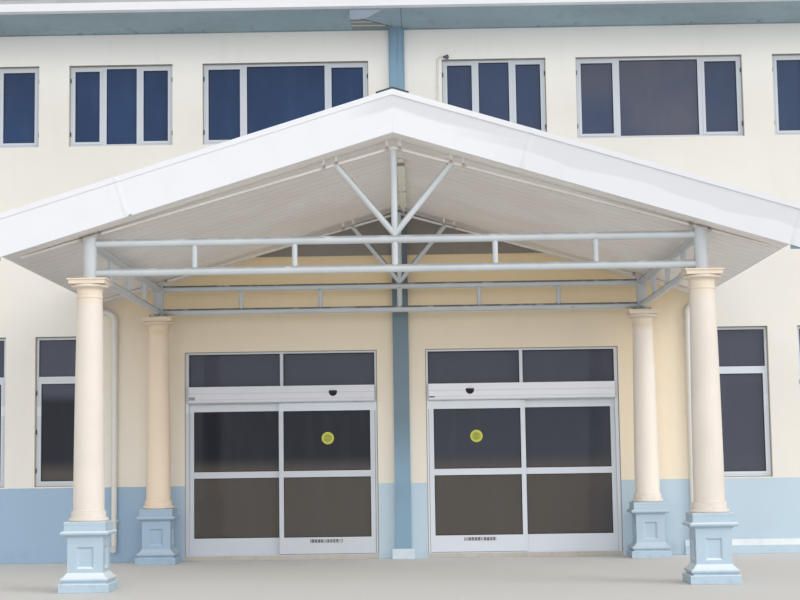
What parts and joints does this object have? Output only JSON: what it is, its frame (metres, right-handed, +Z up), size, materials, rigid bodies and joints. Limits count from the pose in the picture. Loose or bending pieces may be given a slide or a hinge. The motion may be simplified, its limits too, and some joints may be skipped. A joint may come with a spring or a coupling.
{
  "type": "building entrance front with a gabled canopy and two automatic sliding door sets",
  "caption": "Cream two-storey entrance front with a gabled steel canopy on four columns and two sliding glass door sets.",
  "frame": {"origin": "centre of the foot of the wall's outer face, below the ridge of the canopy and the pilaster, on the level of the lowest foot", "axes": "+X along the wall to the right as seen from outside, +Y from the forecourt into the building, +Z up"},
  "size_m": [14.78, 5.684, 8.0967],
  "materials": {
    "render_cream": "painted render, cream with a pale blue dado",
    "column_cream": "smooth painted concrete",
    "plinth_blue": "smooth painted concrete",
    "pilaster_blue": "satin paint",
    "concrete": "trowelled",
    "steel_paint": "satin paint with rust runs at the joints",
    "rafter_white": "satin paint with rust runs at the joints",
    "white_sheet": "gloss coated sheet",
    "soffit_sheet": "satin coated sheet",
    "eave_board": "satin paint",
    "roof_sheet": "satin coated sheet",
    "gutter_blue": "satin paint",
    "frame_aluminium": "powder coated",
    "cover_grey": "satin",
    "tinted_glass": "tinted, polished",
    "sensor_black": "gloss",
    "dark_panel": "matt",
    "light_diffuser": "opal",
    "pipe_white": "matt"
  },
  "bodies": {
    "front": {"ground_wall_left": "render_cream", "ground_wall_centre": "render_cream", "ground_wall_right": "render_cream", "door_lintel": "render_cream", "door_sills": "concrete", "upper_wall_band": "render_cream", "upper_wall_piers": "render_cream", "upper_wall_head": "render_cream", "pilaster": "pilaster_blue", "base_ledges": "plinth_blue", "eave_soffit": "eave_board", "eave_gutter": "white_sheet", "eave_roof": "roof_sheet", "upper_window_frames": "frame_aluminium", "upper_window_glass": "tinted_glass", "ground_window_frames": "frame_aluminium", "ground_window_glass": "tinted_glass", "left_door_frame": "frame_aluminium", "right_door_frame": "frame_aluminium", "fixed_leaves": "frame_aluminium", "fixed_glass": "tinted_glass", "operator_covers": "cover_grey", "door_sensors": "sensor_black", "plinths": "plinth_blue", "columns": "column_cream", "posts": "steel_paint", "chords": "steel_paint", "king_frames": "steel_paint", "side_beams": "steel_paint", "left_rafters": "rafter_white", "right_rafters": "rafter_white", "left_soffit": "soffit_sheet", "right_soffit": "soffit_sheet", "left_canopy_roof": "white_sheet", "right_canopy_roof": "white_sheet", "ridge_cap": "roof_sheet", "left_fascia": "white_sheet", "right_fascia": "white_sheet", "eave_boards": "white_sheet", "canopy_gutters": "gutter_blue", "gable_panel": "dark_panel", "ridge_light": "light_diffuser", "downpipes": "pipe_white"},
    "left_leaf": {"left_sliding_leaf": "frame_aluminium", "left_sliding_glass": "tinted_glass"},
    "right_leaf": {"right_sliding_leaf": "frame_aluminium", "right_sliding_glass": "tinted_glass"}
  },
  "joints": [
    {"name": "left_leaf_slide", "type": "slide", "parent": "front", "child": "left_leaf", "axis": [-1, 0, 0], "range_m": [0, 1.24]},
    {"name": "right_leaf_slide", "type": "slide", "parent": "front", "child": "right_leaf", "axis": [1, 0, 0], "range_m": [0, 1.24]}
  ]
}
